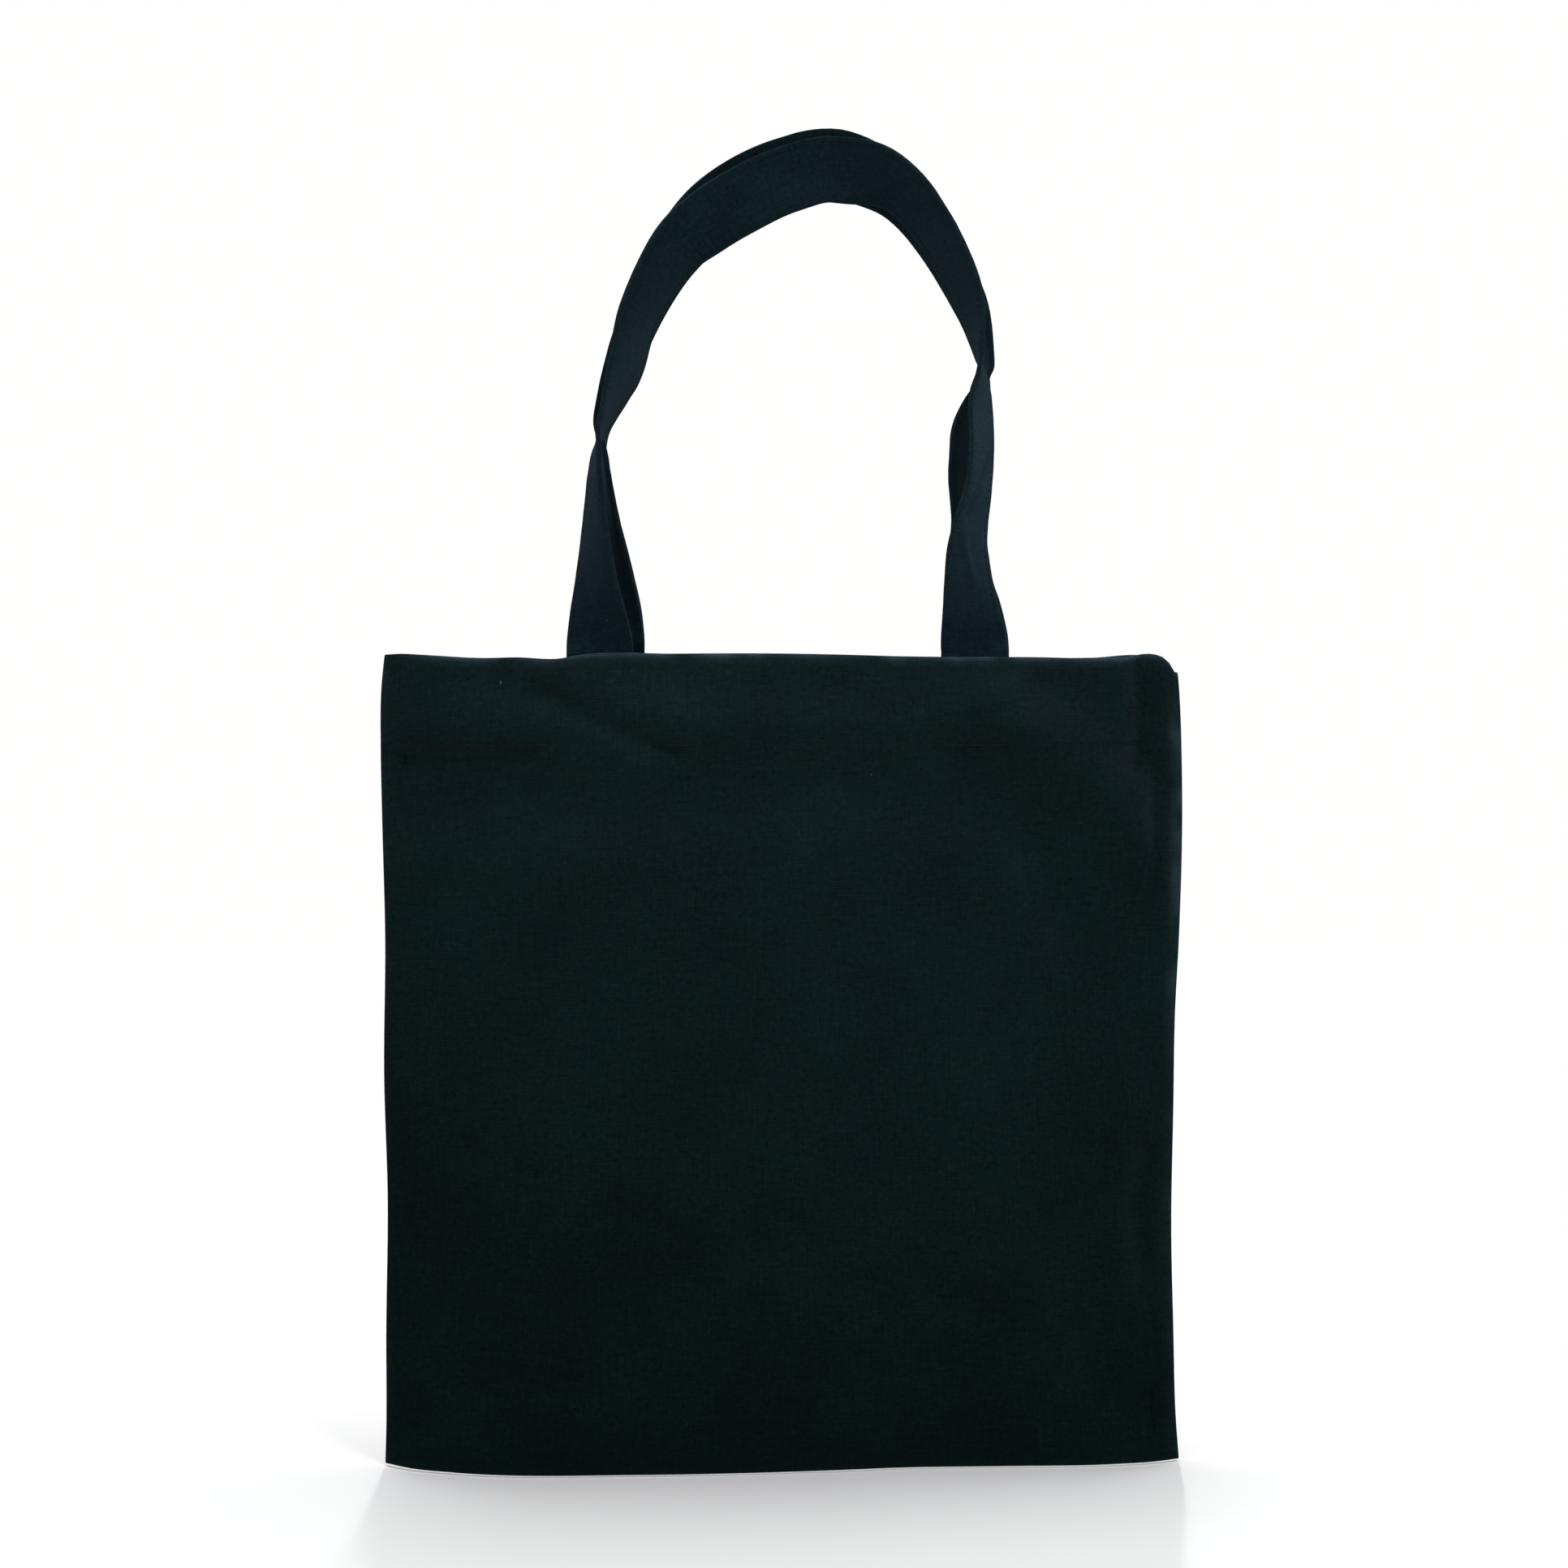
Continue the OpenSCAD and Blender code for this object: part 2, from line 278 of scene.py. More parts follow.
def tidy_mesh(thing):
    """Leaves no loose or doubled points, turns every face outward and shades it smooth."""
    work = bmesh.new()
    work.from_mesh(thing.data)
    bmesh.ops.remove_doubles(work, verts=work.verts, dist=0.01 * MM)
    loose = [v for v in work.verts if not v.link_faces]
    bmesh.ops.delete(work, geom=loose, context="VERTS")
    bmesh.ops.recalc_face_normals(work, faces=work.faces)
    for face in work.faces:
        face.smooth = True
    work.to_mesh(thing.data)
    work.free()
    return thing


def thicken(thing, thickness):
    """Gives a sheet of cloth its real thickness, evenly on both sides."""
    solid = thing.modifiers.new("ply", "SOLIDIFY")
    solid.thickness = thickness * MM
    solid.offset = 0
    solid.use_rim = True
    shaped = thing.evaluated_get(bpy.context.evaluated_depsgraph_get())
    mesh = bpy.data.meshes.new_from_object(shaped)
    thing.modifiers.clear()
    thing.data = mesh
    return thing


# ---- The bag's cloth ----

# Each side of the bag is one sheet: the hem inside, over the mouth, down the panel, and round every
# seam into the allowances. A sheet's middle stands off the plane between the two sides by this much:
ALLOWANCE_OFF = (PLY + PLY_GAP) / 2
SEAM_R = (PLY + PLY_GAP) / 2
PANEL_OFF = ALLOWANCE_OFF + 2 * SEAM_R
HEM_STEP = PLY + PLY_GAP + 0.04
HEM_STEP_MIDDLE = 0.6
MOUTH_R = HEM_STEP / 2
# Where the turned seam of the mouth ends beside the hem, off the same plane
HEM_SEAM_OFF = 0.1 * ALLOWANCE_OFF
CORNER_GAP = 12.0
FOLD_STEPS = 5
ALLOWANCE_STEPS = 4


def hem_layer(depth):
    """1 where the hem lies behind the panel and 0 below it."""
    return 1 - smooth_step(HEM_H - 1.5, HEM_H + 2.5, depth)


def puff(t, v):
    """How far a panel stands off the seams: t across from -1 to 1, v down from 0 to 1."""
    across = np.clip(1 - t * t, 0, 1) ** 0.7
    down = MOUTH_PUFF + (BELLY_PUFF - MOUTH_PUFF) * np.sin(np.pi * np.clip(v, 0, 1) ** 0.8)
    return across * down * (1 - np.clip(v, 0, 1) ** 6)


def wrinkles(side, x, depth):
    """Folds, dents and waves of the cloth, outward."""
    total = np.zeros(np.broadcast(x, depth).shape)
    for points, width, height in FOLDS[side]:
        total += fold(x, depth, points, width, height)
    seed = 11 if side == FRONT else 23
    total += 0.7 * waves(x, depth, 90, seed)
    total += 0.2 * waves(x, depth, 26, seed + 1)
    total += 0.05 * waves(x, depth, 8, seed + 2)
    pucker = np.exp(-(((depth - HEM_H + HEM_INSET) / 2.2) ** 2))
    total -= pucker * (0.06 + 0.06 * waves(x, depth * 0 + seed, 14, seed + 3))
    side_pull = np.exp(-((HALF_W - np.abs(x)) / 7)) * smooth_step(40, 60, depth)
    total += 0.35 * side_pull * waves(depth, x * 0 + seed, 22, seed + 4)
    return total


def edge_mask(x, depth):
    """0 on the side and bottom seams and 1 a little way in."""
    sides = smooth_step(0, 11, HALF_W - np.abs(x))
    return sides * smooth_step(0, 11, BAG_H - depth)


def side_edges(depth):
    """x of the left and the right edge of the cloth's middle layer."""
    return smooth_curve(LEFT_EDGE, depth) + PLY / 2, smooth_curve(RIGHT_EDGE, depth) - PLY / 2


def height_at(side, x, depth):
    """z of the cloth's middle at a depth, between the top and the bottom outlines."""
    top = smooth_curve(FRONT_TOP if side == FRONT else BACK_TOP, x) - PLY / 2
    low = smooth_curve(BOTTOM, x) + PLY / 2
    return MOUTH_Z - depth + top * np.exp(-depth / 22) + low * (depth / BAG_H) ** 3


def panel_off(side, t, depth):
    """How far the middle of the outer cloth stands off the middle of the bag."""
    x = t * HALF_W
    hem = hem_layer(depth) * (HEM_STEP_MIDDLE + (HEM_STEP - HEM_STEP_MIDDLE) * t**4)
    return PANEL_OFF + hem + puff(t, depth / BAG_H) + edge_mask(x, depth) * wrinkles(side, x, depth)


def outer_cloth(side, t, turn, inset, depth):
    """Points of the outer cloth at a depth. turn goes round the side seam and inset on into the allowance."""
    left, right = side_edges(depth)
    hem = hem_layer(depth)
    seam_r = SEAM_R + hem * ((PANEL_OFF + HEM_STEP - HEM_SEAM_OFF) / 2 - SEAM_R)
    centre_off = PANEL_OFF + hem * HEM_STEP - seam_r
    half = (right - left) / 2 - seam_r
    x = (left + right) / 2 + t * half + np.sign(t) * (seam_r * np.sin(turn) - inset)
    off = np.where(turn > 0, centre_off + seam_r * np.cos(turn), panel_off(side, t, depth))
    return x, off, height_at(side, t * HALF_W, depth)


FACING_INSET = 1.15
FACING_R = 0.7


def facing_cloth(side, t, turn, depth):
    """Points of the hem inside the mouth, which closes on itself at the side seams like a smaller tube."""
    left, right = side_edges(depth)
    half = (right - left) / 2 - FACING_INSET - FACING_R
    x = (left + right) / 2 + t * half + np.sign(t) * FACING_R * np.sin(turn)
    round_seam = PANEL_OFF - FACING_R + FACING_R * np.cos(turn)
    off = np.where(turn > 0, round_seam, panel_off(side, t, np.minimum(depth, HEM_H - 3)) - HEM_STEP)
    return x, off, height_at(side, t * HALF_W, depth)


def grid_columns():
    """t, turn and inset of each column: left allowance, left seam, panel, right seam, right allowance."""
    insets = np.linspace(SEAM_W, SEAM_W / ALLOWANCE_STEPS, ALLOWANCE_STEPS)
    turns = np.linspace(np.pi, np.pi / FOLD_STEPS, FOLD_STEPS)
    across = np.linspace(-1, 1, int(2 * HALF_W / GRID) + 1)
    edge = np.ones(ALLOWANCE_STEPS + FOLD_STEPS)
    flat = np.full(ALLOWANCE_STEPS, np.pi)
    t = np.concatenate([-edge, across, edge])
    turn = np.concatenate([flat, turns, 0 * across, turns[::-1], flat])
    inset = np.concatenate([insets, 0 * turns, 0 * across, 0 * turns, insets[::-1]])
    return t, turn, inset


def bag_cloth(side, name):
    """One side of the bag as one sheet of cloth."""
    t, turn, inset = grid_columns()
    low_depth = BAG_H - PLY / 2
    rows, flat_v, zone = [], [], []

    def add(x, off, z, v, kind):
        rows.append(np.stack([x, side * off, z], axis=1))
        flat_v.append(v)
        zone.append(kind)

    for depth in np.arange(HEM_H, 1.5, -GRID):
        add(*facing_cloth(side, t, turn, depth), -depth, "facing")
    inner = np.stack(facing_cloth(side, t, turn, MOUTH_R), axis=1)
    outer = np.stack(outer_cloth(side, t, turn, inset * 0, MOUTH_R), axis=1)
    for angle in np.linspace(np.pi, 0, 2 * FOLD_STEPS + 1):
        over = (outer + inner) / 2 + (outer - inner) / 2 * np.cos(angle)
        over[:, 2] += MOUTH_R * np.sin(angle)
        add(*over.T, MOUTH_R * (np.pi / 2 - angle), "mouth")
    depths = np.concatenate([np.arange(2.0, HEM_H - 4, GRID), np.arange(HEM_H - 4, HEM_H + 4, 1.0),
                             np.linspace(HEM_H + 4, low_depth - SEAM_R, int((BAG_H - HEM_H) / GRID))])
    for depth in depths:
        add(*outer_cloth(side, t, turn, inset, depth), depth, "panel")
    x, off, z = outer_cloth(side, t, turn, inset * 0, low_depth - SEAM_R)
    centre_off = PANEL_OFF - SEAM_R
    for angle in np.linspace(np.pi / FOLD_STEPS, np.pi, FOLD_STEPS):
        add(x, centre_off + (off - centre_off) * np.cos(angle), z - SEAM_R * np.sin(angle),
            low_depth + SEAM_R * angle, "bottom")
    for rise in np.linspace(SEAM_W / ALLOWANCE_STEPS, SEAM_W, ALLOWANCE_STEPS):
        add(x, 0 * off + ALLOWANCE_OFF, z + rise, low_depth + rise, "bottom_allowance")

    points = np.array(rows)
    flat_u = t * HALF_W + np.sign(t) * (SEAM_R * turn + inset)
    uv = np.stack(np.broadcast_arrays(flat_u[None, :], np.array(flat_v)[:, None]), axis=2)
    keep = kept_faces(points, np.array(zone), turn, inset)
    wear_and_highlight = wear_and_painted_highlight(uv, side)
    count, columns = points.shape[:2]
    made = mesh_object(name, points.reshape(-1, 3), grid_faces(count, columns, keep),
                       uv.reshape(-1, 2), wear_and_highlight.ravel())
    return tidy_mesh(thicken(tidy_mesh(made), PLY))


def kept_faces(points, zone, turn, inset):
    """Which faces of the sheet are cloth: the allowances stop at the hem and short of the corners."""
    side_allowance = (inset[:-1] > 0) | (inset[1:] > 0)
    far_turn = np.maximum(turn[:-1], turn[1:]) > np.pi / 2 + 0.01
    depth = MOUTH_Z - points[:, :, 2].mean(axis=1)
    row_zone = zone[1:]
    row_depth = (depth[:-1] + depth[1:]) / 2
    in_hem = np.isin(row_zone, ["facing", "mouth"]) | (row_depth < HEM_H)
    keep = ~(in_hem[:, None] & side_allowance[None, :])
    keep &= ~((row_depth > BAG_H - CORNER_GAP)[:, None] & side_allowance[None, :])
    low = np.isin(row_zone, ["bottom", "bottom_allowance"])
    keep &= ~(low[:, None] & far_turn[None, :])
    middle_x = (points[0, :-1, 0] + points[0, 1:, 0]) / 2
    corner = np.abs(middle_x) > HALF_W - SEAM_W - 2
    keep &= ~((row_zone == "bottom_allowance")[:, None] & corner[None, :])
    return keep


def wear_and_painted_highlight(uv, side):
    """How rubbed the cloth is along the seams and the hem's step, with a painted highlight along the mouth's
    top fold and down the side edge on the panel's right.
    """
    u, v = uv[..., 0], uv[..., 1]
    seed = 31 if side == FRONT else 37
    patchy = 0.7 + 0.3 * waves(u, v, 16, seed)
    # Painted highlight along the mouth's top fold, partly rubbed wear
    mouth = np.exp(-((v / 1.6) ** 2))
    sides = 0.12 * np.exp(-(((HALF_W + 0.7 - np.abs(u)) / 1.6) ** 2))
    low = 0.1 * np.exp(-(((BAG_H - v) / 1.6) ** 2))
    step = 0.03 * np.exp(-(((v - HEM_H) / 2.0) ** 2))
    # Painted highlight: a light strip down the side edge on the panel's right, fading lower down
    right = 0.7 * np.exp(-(((HALF_W - 1.0 + side * u) / 2.2) ** 2)) * smooth_step(14, 30, v)
    right = right * (1 - 0.75 * smooth_step(80, 240, v))
    return np.clip((mouth + sides + low + step + right) * patchy, 0, 1)


def on_panel(side, x, depth):
    """A point on the outside of the outer cloth, in millimetres."""
    t = np.clip(x / HALF_W, -1, 1)
    off = panel_off(side, t, depth) + PLY / 2
    return np.stack([x, side * off, height_at(side, x, depth)], axis=-1)


# ---- Straps ----

RINGS_PER_KEY = 8
STRAP_R = STRAP_T / 2
# Off the plane between the handles: a strap's middle at the mouth, and a loop's near edge above LOOP_RISE
EXIT_Y = 4.4
LOOP_CLEAR = 1.9
LOOP_RISE = 60.0
# Height over the mouth by which a strap has left the cloth that it is sewn to
FREE_RISE = 16.0
END_STEPS = 14


def route_curve(route, s):
    """The Catmull-Rom curve through a route's points."""
    keys = np.array(route, float)
    keys = np.vstack([2 * keys[0] - keys[1], keys, 2 * keys[-1] - keys[-2]])
    i = np.clip(np.floor(s).astype(int), 0, len(route) - 2)
    t = (s - i)[:, None]
    a, b, c, d = keys[i], keys[i + 1], keys[i + 2], keys[i + 3]
    return 0.5 * (2 * b + (c - a) * t + (2 * a - 5 * b + 4 * c - d) * t**2 + (3 * b - a - 3 * c + d) * t**3)


class Strap:
    """A strap's middle line with its directions: sewn end, free loop, and sewn end."""

    def __init__(self, side, route):
        self.side = side
        loop = route_curve(route, np.linspace(0, len(route) - 1, (len(route) - 1) * RINGS_PER_KEY + 1))
        drop = np.linspace(-END_H, route[0][1], END_STEPS + 1)[:-1]
        first = np.stack([0 * drop + route[0][0], drop, 0 * drop], axis=1)
        last = np.stack([0 * drop + route[-1][0], drop, 0 * drop], axis=1)[::-1]
        path = np.concatenate([first, loop, last])
        self.x, self.height, turn = path.T
        self.free = smooth_step(0, FREE_RISE, self.height)
        self.turn = np.radians(turn)
        run = np.gradient(path[:, :2], axis=0)
        self.run = run / np.linalg.norm(run, axis=1)[:, None]
        self.off = self.middle_off()
        centre = np.stack([self.x, self.side * self.off, self.height], axis=1)
        steps = np.linalg.norm(np.diff(centre, axis=0), axis=1)
        self.length = np.concatenate([[0], np.cumsum(steps)])

    def middle_off(self):
        """How far the strap's middle is from the plane between the two straps."""
        near_exit = np.clip(1 - self.height / LOOP_RISE, 0, 1)
        loop = LOOP_CLEAR + (EXIT_Y - LOOP_CLEAR) * near_exit + STRAP_W / 2 * np.abs(np.sin(self.turn))
        depth = np.clip(-self.height, MOUTH_R, None)
        behind_hem = HEM_STEP + PLY / 2 + STRAP_T / 2 + PLY_GAP
        sewn = panel_off(self.side, self.x / HALF_W, depth) - behind_hem
        return sewn + (loop - sewn) * self.free

    def hug(self, x):
        """How much further out the cloth is at x than at the strap's middle, where the strap is sewn."""
        depth = np.clip(-self.height, MOUTH_R, None)[:, None]
        middle = panel_off(self.side, self.x[:, None] / HALF_W, depth)
        return (panel_off(self.side, x / HALF_W, depth) - middle) * (1 - self.free[:, None])

    def curl(self, w):
        """How the strap cups across its width where it is twisted, and stays flat where it is sewn."""
        free = (smooth_step(10, 60, self.height) * (0.3 + 0.7 * np.abs(np.cos(self.turn))))[:, None]
        cup = 1.3 * np.sin(self.length / 47 + 0.6)[:, None] + 0.9 * np.sin(2 * self.turn)[:, None]
        ripple = 0.22 * waves(self.length[:, None], w, 30, 5 + self.side)
        creases = np.zeros(w.shape)
        for hand, points, width, height in CREASES[self.side]:
            leg = self.x[:, None] * hand > 0
            creases += leg * fold(w, self.height[:, None], points, width, height)
        return free * (cup * ((w / (STRAP_W / 2)) ** 2 - 0.4) + ripple) + creases

    def at(self, w, n):
        """Points at widths w and thicknesses n, one row for each ring."""
        w = np.broadcast_to(w, (len(self.x), np.shape(w)[-1]))
        n = n + self.curl(w)
        turn = self.turn[:, None]
        out = -w * np.cos(turn) - n * np.sin(turn)
        back = -w * np.sin(turn) + n * np.cos(turn)
        x = self.x[:, None] - self.run[:, 1:] * out
        y = self.side * (self.off[:, None] + self.hug(x)) + back
        z = MOUTH_Z + self.height[:, None] + self.run[:, :1] * out
        return np.stack([x, y, z], axis=2)


def strap_section():
    """Widths and thicknesses round a strap, with a folded edge and an edge where two folds meet."""
    flat = np.linspace(-STRAP_W / 2 + STRAP_R, STRAP_W / 2 - STRAP_R, 17)
    angles = np.linspace(0, np.pi, 8)[1:-1]
    w = np.concatenate([flat, STRAP_W / 2 - STRAP_R + STRAP_R * np.sin(angles),
                        flat[::-1], -STRAP_W / 2 + STRAP_R - STRAP_R * np.sin(angles)])
    n = np.concatenate([0 * flat + STRAP_R, STRAP_R * np.cos(angles),
                        0 * flat - STRAP_R, -STRAP_R * np.cos(angles)])
    groove = 0.75 * np.exp(-((n / 0.32) ** 2)) * (w > 0)
    return w - groove, n


def strap_piece(side, route, name):
    """One strap as a closed band, with the pull of its stitching and rubbed edges."""
    line = Strap(side, route)
    w, n = strap_section()
    row = STRAP_W / 2 - STRAP_INSET
    sewn = np.exp(-(((np.abs(w) - row) / 0.9) ** 2))[None, :]
    pull = 0.2 + 0.1 * np.cos(2 * np.pi * line.length / STITCH_PITCH)[:, None]
    thin = n[None, :] * (1 - sewn * pull)
    uneven = 1 + 0.03 * waves(line.length[:, None], w[None, :], 7, 41 + side)
    points = line.at(w, thin * uneven)
    rings, around = points.shape[:2]
    girth = np.concatenate([[0], np.cumsum(np.hypot(np.diff(w), np.diff(n)))])
    uv = np.stack(np.broadcast_arrays(girth[None, :], line.length[:, None]), axis=2)
    edge = np.exp(-(((STRAP_W / 2 - np.abs(w)) / 0.8) ** 2))[None, :]
    patchy = 0.6 + 0.4 * waves(line.length[:, None], w[None, :], 18, 47 + side)
    wear_and_highlight = 0.06 * np.clip(edge * patchy, 0, 1)
    faces = grid_faces(rings, around, closed=True) + end_caps(rings, around)
    made = mesh_object(name, points.reshape(-1, 3), faces, uv.reshape(-1, 2), wear_and_highlight.ravel())
    return tidy_mesh(made), line


# ---- Thread ----

# Rings along one stitch: how far it rises out of the cloth, and its size as a share of the thread's
STITCH_RISE = [-0.3, 0.0, 0.08, 0.0, -0.3]
STITCH_SIZE = [0.5, 0.95, 1.0, 0.95, 0.5]


def stitches(name, start, end, lift):
    """Separate stitches from each start to its end. lift is the way out of the cloth."""
    rings = len(STITCH_RISE)
    run = (end - start) / np.linalg.norm(end - start, axis=1)[:, None]
    across = np.cross(run, lift)[:, None, None]
    out = lift[:, None, None]
    along = np.linspace(0, 1, rings)[:, None, None]
    rise = np.array(STITCH_RISE)[:, None, None]
    size = np.array(STITCH_SIZE)[:, None, None] * THREAD_R
    angle = (np.arange(STITCH_SIDES) * 2 * np.pi / STITCH_SIDES)[:, None]
    middle = start[:, None, None] + (end - start)[:, None, None] * along + out * rise
    points = middle + size * (np.cos(angle) * across + np.sin(angle) * out)
    one = grid_faces(rings, STITCH_SIDES, closed=True) + end_caps(rings, STITCH_SIDES)
    step = rings * STITCH_SIDES
    faces = [tuple(i + k * step for i in face) for k in range(len(start)) for face in one]
    return tidy_mesh(mesh_object(name, points.reshape(-1, 3), faces))


def along_line(points, pitch, gap):
    """Start and end of each stitch along a line of points, with the share of the way for each."""
    length = np.concatenate([[0], np.cumsum(np.linalg.norm(np.diff(points, axis=0), axis=1))])
    count = int(length[-1] / pitch)
    starts = (np.arange(count) + 0.5) * length[-1] / count - (pitch - gap) / 2
    ends = starts + pitch - gap
    start = np.stack([np.interp(starts, length, line) for line in points.T], axis=1)
    end = np.stack([np.interp(ends, length, line) for line in points.T], axis=1)
    return start, end, (starts + ends) / 2 / length[-1]


def outward(points, shares, faces_out):
    """The way out of the cloth at shares of the way along a line."""
    share = np.linspace(0, 1, len(points))
    out = np.stack([np.interp(shares, share, faces_out[:, k]) for k in range(3)], axis=1)
    return out / np.linalg.norm(out, axis=1)[:, None]


def sew(rows, name):
    """One piece with the stitches of several rows, each a line of points and the ways out of the cloth."""
    parts = []
    for points, out in rows:
        start, end, shares = along_line(points, STITCH_PITCH, STITCH_GAP)
        parts.append((start, end, outward(points, shares, out)))
    start, end, lift = [np.concatenate(x) for x in zip(*parts)]
    return stitches(name, start, end, lift)


def strap_stitching(line, name):
    """The rows of stitches along both edges and on both faces of a strap's free loop."""
    row = STRAP_W / 2 - STRAP_INSET
    free = line.height > 1.5
    rows = []
    for edge in (-row, row):
        for face in (-1, 1):
            surface = line.at(np.array([edge]), face * STRAP_R * 0.8)[free, 0]
            above = line.at(np.array([edge]), face * (STRAP_R * 0.8 + 1))[free, 0]
            rows.append((surface, above - surface))
    return sew(rows, name)


def box_stitching(side, line, hand, name):
    """The square with a cross in it that sews a strap end to the hem."""
    middle = line.x[0] if hand < 0 else line.x[-1]
    reach = STRAP_W / 2 - STRAP_INSET
    top, low = BOX_DROP, END_H - BOX_RISE
    corners = np.array([[-reach, top], [reach, top], [reach, low], [-reach, low]])
    pairs = [(0, 1), (1, 2), (2, 3), (3, 0), (0, 2), (1, 3)]
    inward = HEM_STEP + PLY / 2 + STRAP_T + PLY_GAP
    rows = []
    for a, b in pairs:
        share = np.linspace(0, 1, 12)[:, None]
        flat = corners[a] + (corners[b] - corners[a]) * share
        x = middle + flat[:, 0]
        off = panel_off(side, x / HALF_W, flat[:, 1]) - inward
        points = np.stack([x, side * off, MOUTH_Z - flat[:, 1]], axis=1)
        rows.append((points, np.tile([0.0, -side, 0.0], (len(points), 1))))
    return sew(rows, name)


def hem_stitching(side, name):
    """The row that holds the hem, seen outside on the panel and inside on the hem."""
    x = np.linspace(-HALF_W + HEM_END, HALF_W - HEM_END, 240)
    depth = np.full_like(x, HEM_H - HEM_INSET)
    outside = on_panel(side, x, depth)
    inside = outside - np.array([0, side * (PLY + HEM_STEP), 0])
    out = np.tile([0.0, side, 0.0], (len(x), 1))
    return sew([(outside, out), (inside, -out)], name)


def tube(points, radius, sides=5):
    """Points and faces of a round thread along a line, with closed ends."""
    run = np.gradient(points, axis=0)
    run /= np.linalg.norm(run, axis=1)[:, None]
    across = np.cross(run, [0.31, 0.84, 0.44])
    across /= np.linalg.norm(across, axis=1)[:, None]
    lift = np.cross(run, across)
    angles = np.arange(sides) * 2 * np.pi / sides
    ring = across[:, None] * np.cos(angles)[None, :, None] + lift[:, None] * np.sin(angles)[None, :, None]
    skin = points[:, None] + radius * ring
    return skin.reshape(-1, 3), grid_faces(len(points), sides, closed=True) + end_caps(len(points), sides)


OVERLOCK_PITCH = 2.6
OVERLOCK_W = 4.5
OVERLOCK_R = 0.2
# How much further than SEAM_W the overlocked edges lie from the bag's sides, and from its lowest point
OVERLOCK_OUT = 1.4
BOTTOM_RISE = 3.6


def overlock(start, end, inward, name):
    """The thread that loops over the raw edge of an allowance, from start to end of the edge."""
    length = np.linalg.norm(end - start)
    loops = int(length / OVERLOCK_PITCH)
    run = (end - start) / length
    half_t = PLY + PLY_GAP / 2 + OVERLOCK_R
    # One loop: in across the front face, back to the edge, round it, and the same on the back face
    shape = np.array([
        [0.00, 0.0, 1.0], [0.16, 0.5, 1.0], [0.30, 1.0, 0.95], [0.42, 0.5, 1.0], [0.50, -0.03, 0.9],
        [0.50, -0.08, 0.0], [0.50, -0.03, -0.9], [0.62, 0.5, -1.0], [0.74, 1.0, -0.95],
        [0.88, 0.5, -1.0], [1.00, -0.03, -0.9], [1.00, -0.08, 0.0],
    ])
    line = []
    for k in range(loops):
        for forward, across, face in shape:
            place = start + run * (k + forward) * OVERLOCK_PITCH + inward * across * OVERLOCK_W
            line.append(place + np.array([0, face * half_t, 0]))
    points, faces = tube(np.array(line), OVERLOCK_R)
    return tidy_mesh(mesh_object(name, points, faces))


# ---- Materials ----

def slot_colour(name):
    """Base colour of a material slot in the record."""
    return next(m["base_color"] for m in frame["record"]["materials"] if m["slot"] == name)


class Nodes:
    """A material's node tree, with short ways to add and join nodes."""

    def __init__(self, name):
        self.material = bpy.data.materials.new(name)
        self.material.use_nodes = True
        self.tree = self.material.node_tree
        self.shader = self.tree.nodes["Principled BSDF"]

    def add(self, kind, values=None, **settings):
        made = self.tree.nodes.new("ShaderNode" + kind)
        for key, value in settings.items():
            setattr(made, key, value)
        for key, value in (values or {}).items():
            self.put(made.inputs[key], value)
        return made

    def put(self, socket, value):
        if isinstance(value, bpy.types.NodeSocket):
            self.tree.links.new(value, socket)
        else:
            socket.default_value = value

    def math(self, operation, a, b=0.0):
        return self.add("Math", {0: a, 1: b}, operation=operation).outputs[0]

    def mix(self, share, a, b):
        made = self.add("Mix", {0: share, 6: a, 7: b}, data_type="RGBA")
        return made.outputs[2]

    def noise(self, place, scale, detail=2.0, roughness=0.5):
        values = {"Vector": place, "Scale": scale, "Detail": detail, "Roughness": roughness}
        return self.add("TexNoise", values).outputs["Fac"]

    def spread(self, value, low, high, to_low, to_high):
        names = {"Value": value, "From Min": low, "From Max": high, "To Min": to_low, "To Max": to_high}
        return self.add("MapRange", names).outputs["Result"]

    def stretched(self, place, x, y, z=1.0):
        return self.add("Mapping", {"Vector": place, "Scale": (x, y, z)}).outputs[0]


# Distance between two yarns, in metres, the colour of rubbed cloth and of painted highlights, and the colour
# of lint
WEAVE_PITCH = 0.00066
RUBBED_AND_HIGHLIGHT = (0.038, 0.068, 0.084, 1.0)
LINT = (0.035, 0.045, 0.045, 1.0)


def opaque(colour):
    """A colour as a value for a node's colour socket."""
    return (*colour, 1.0)


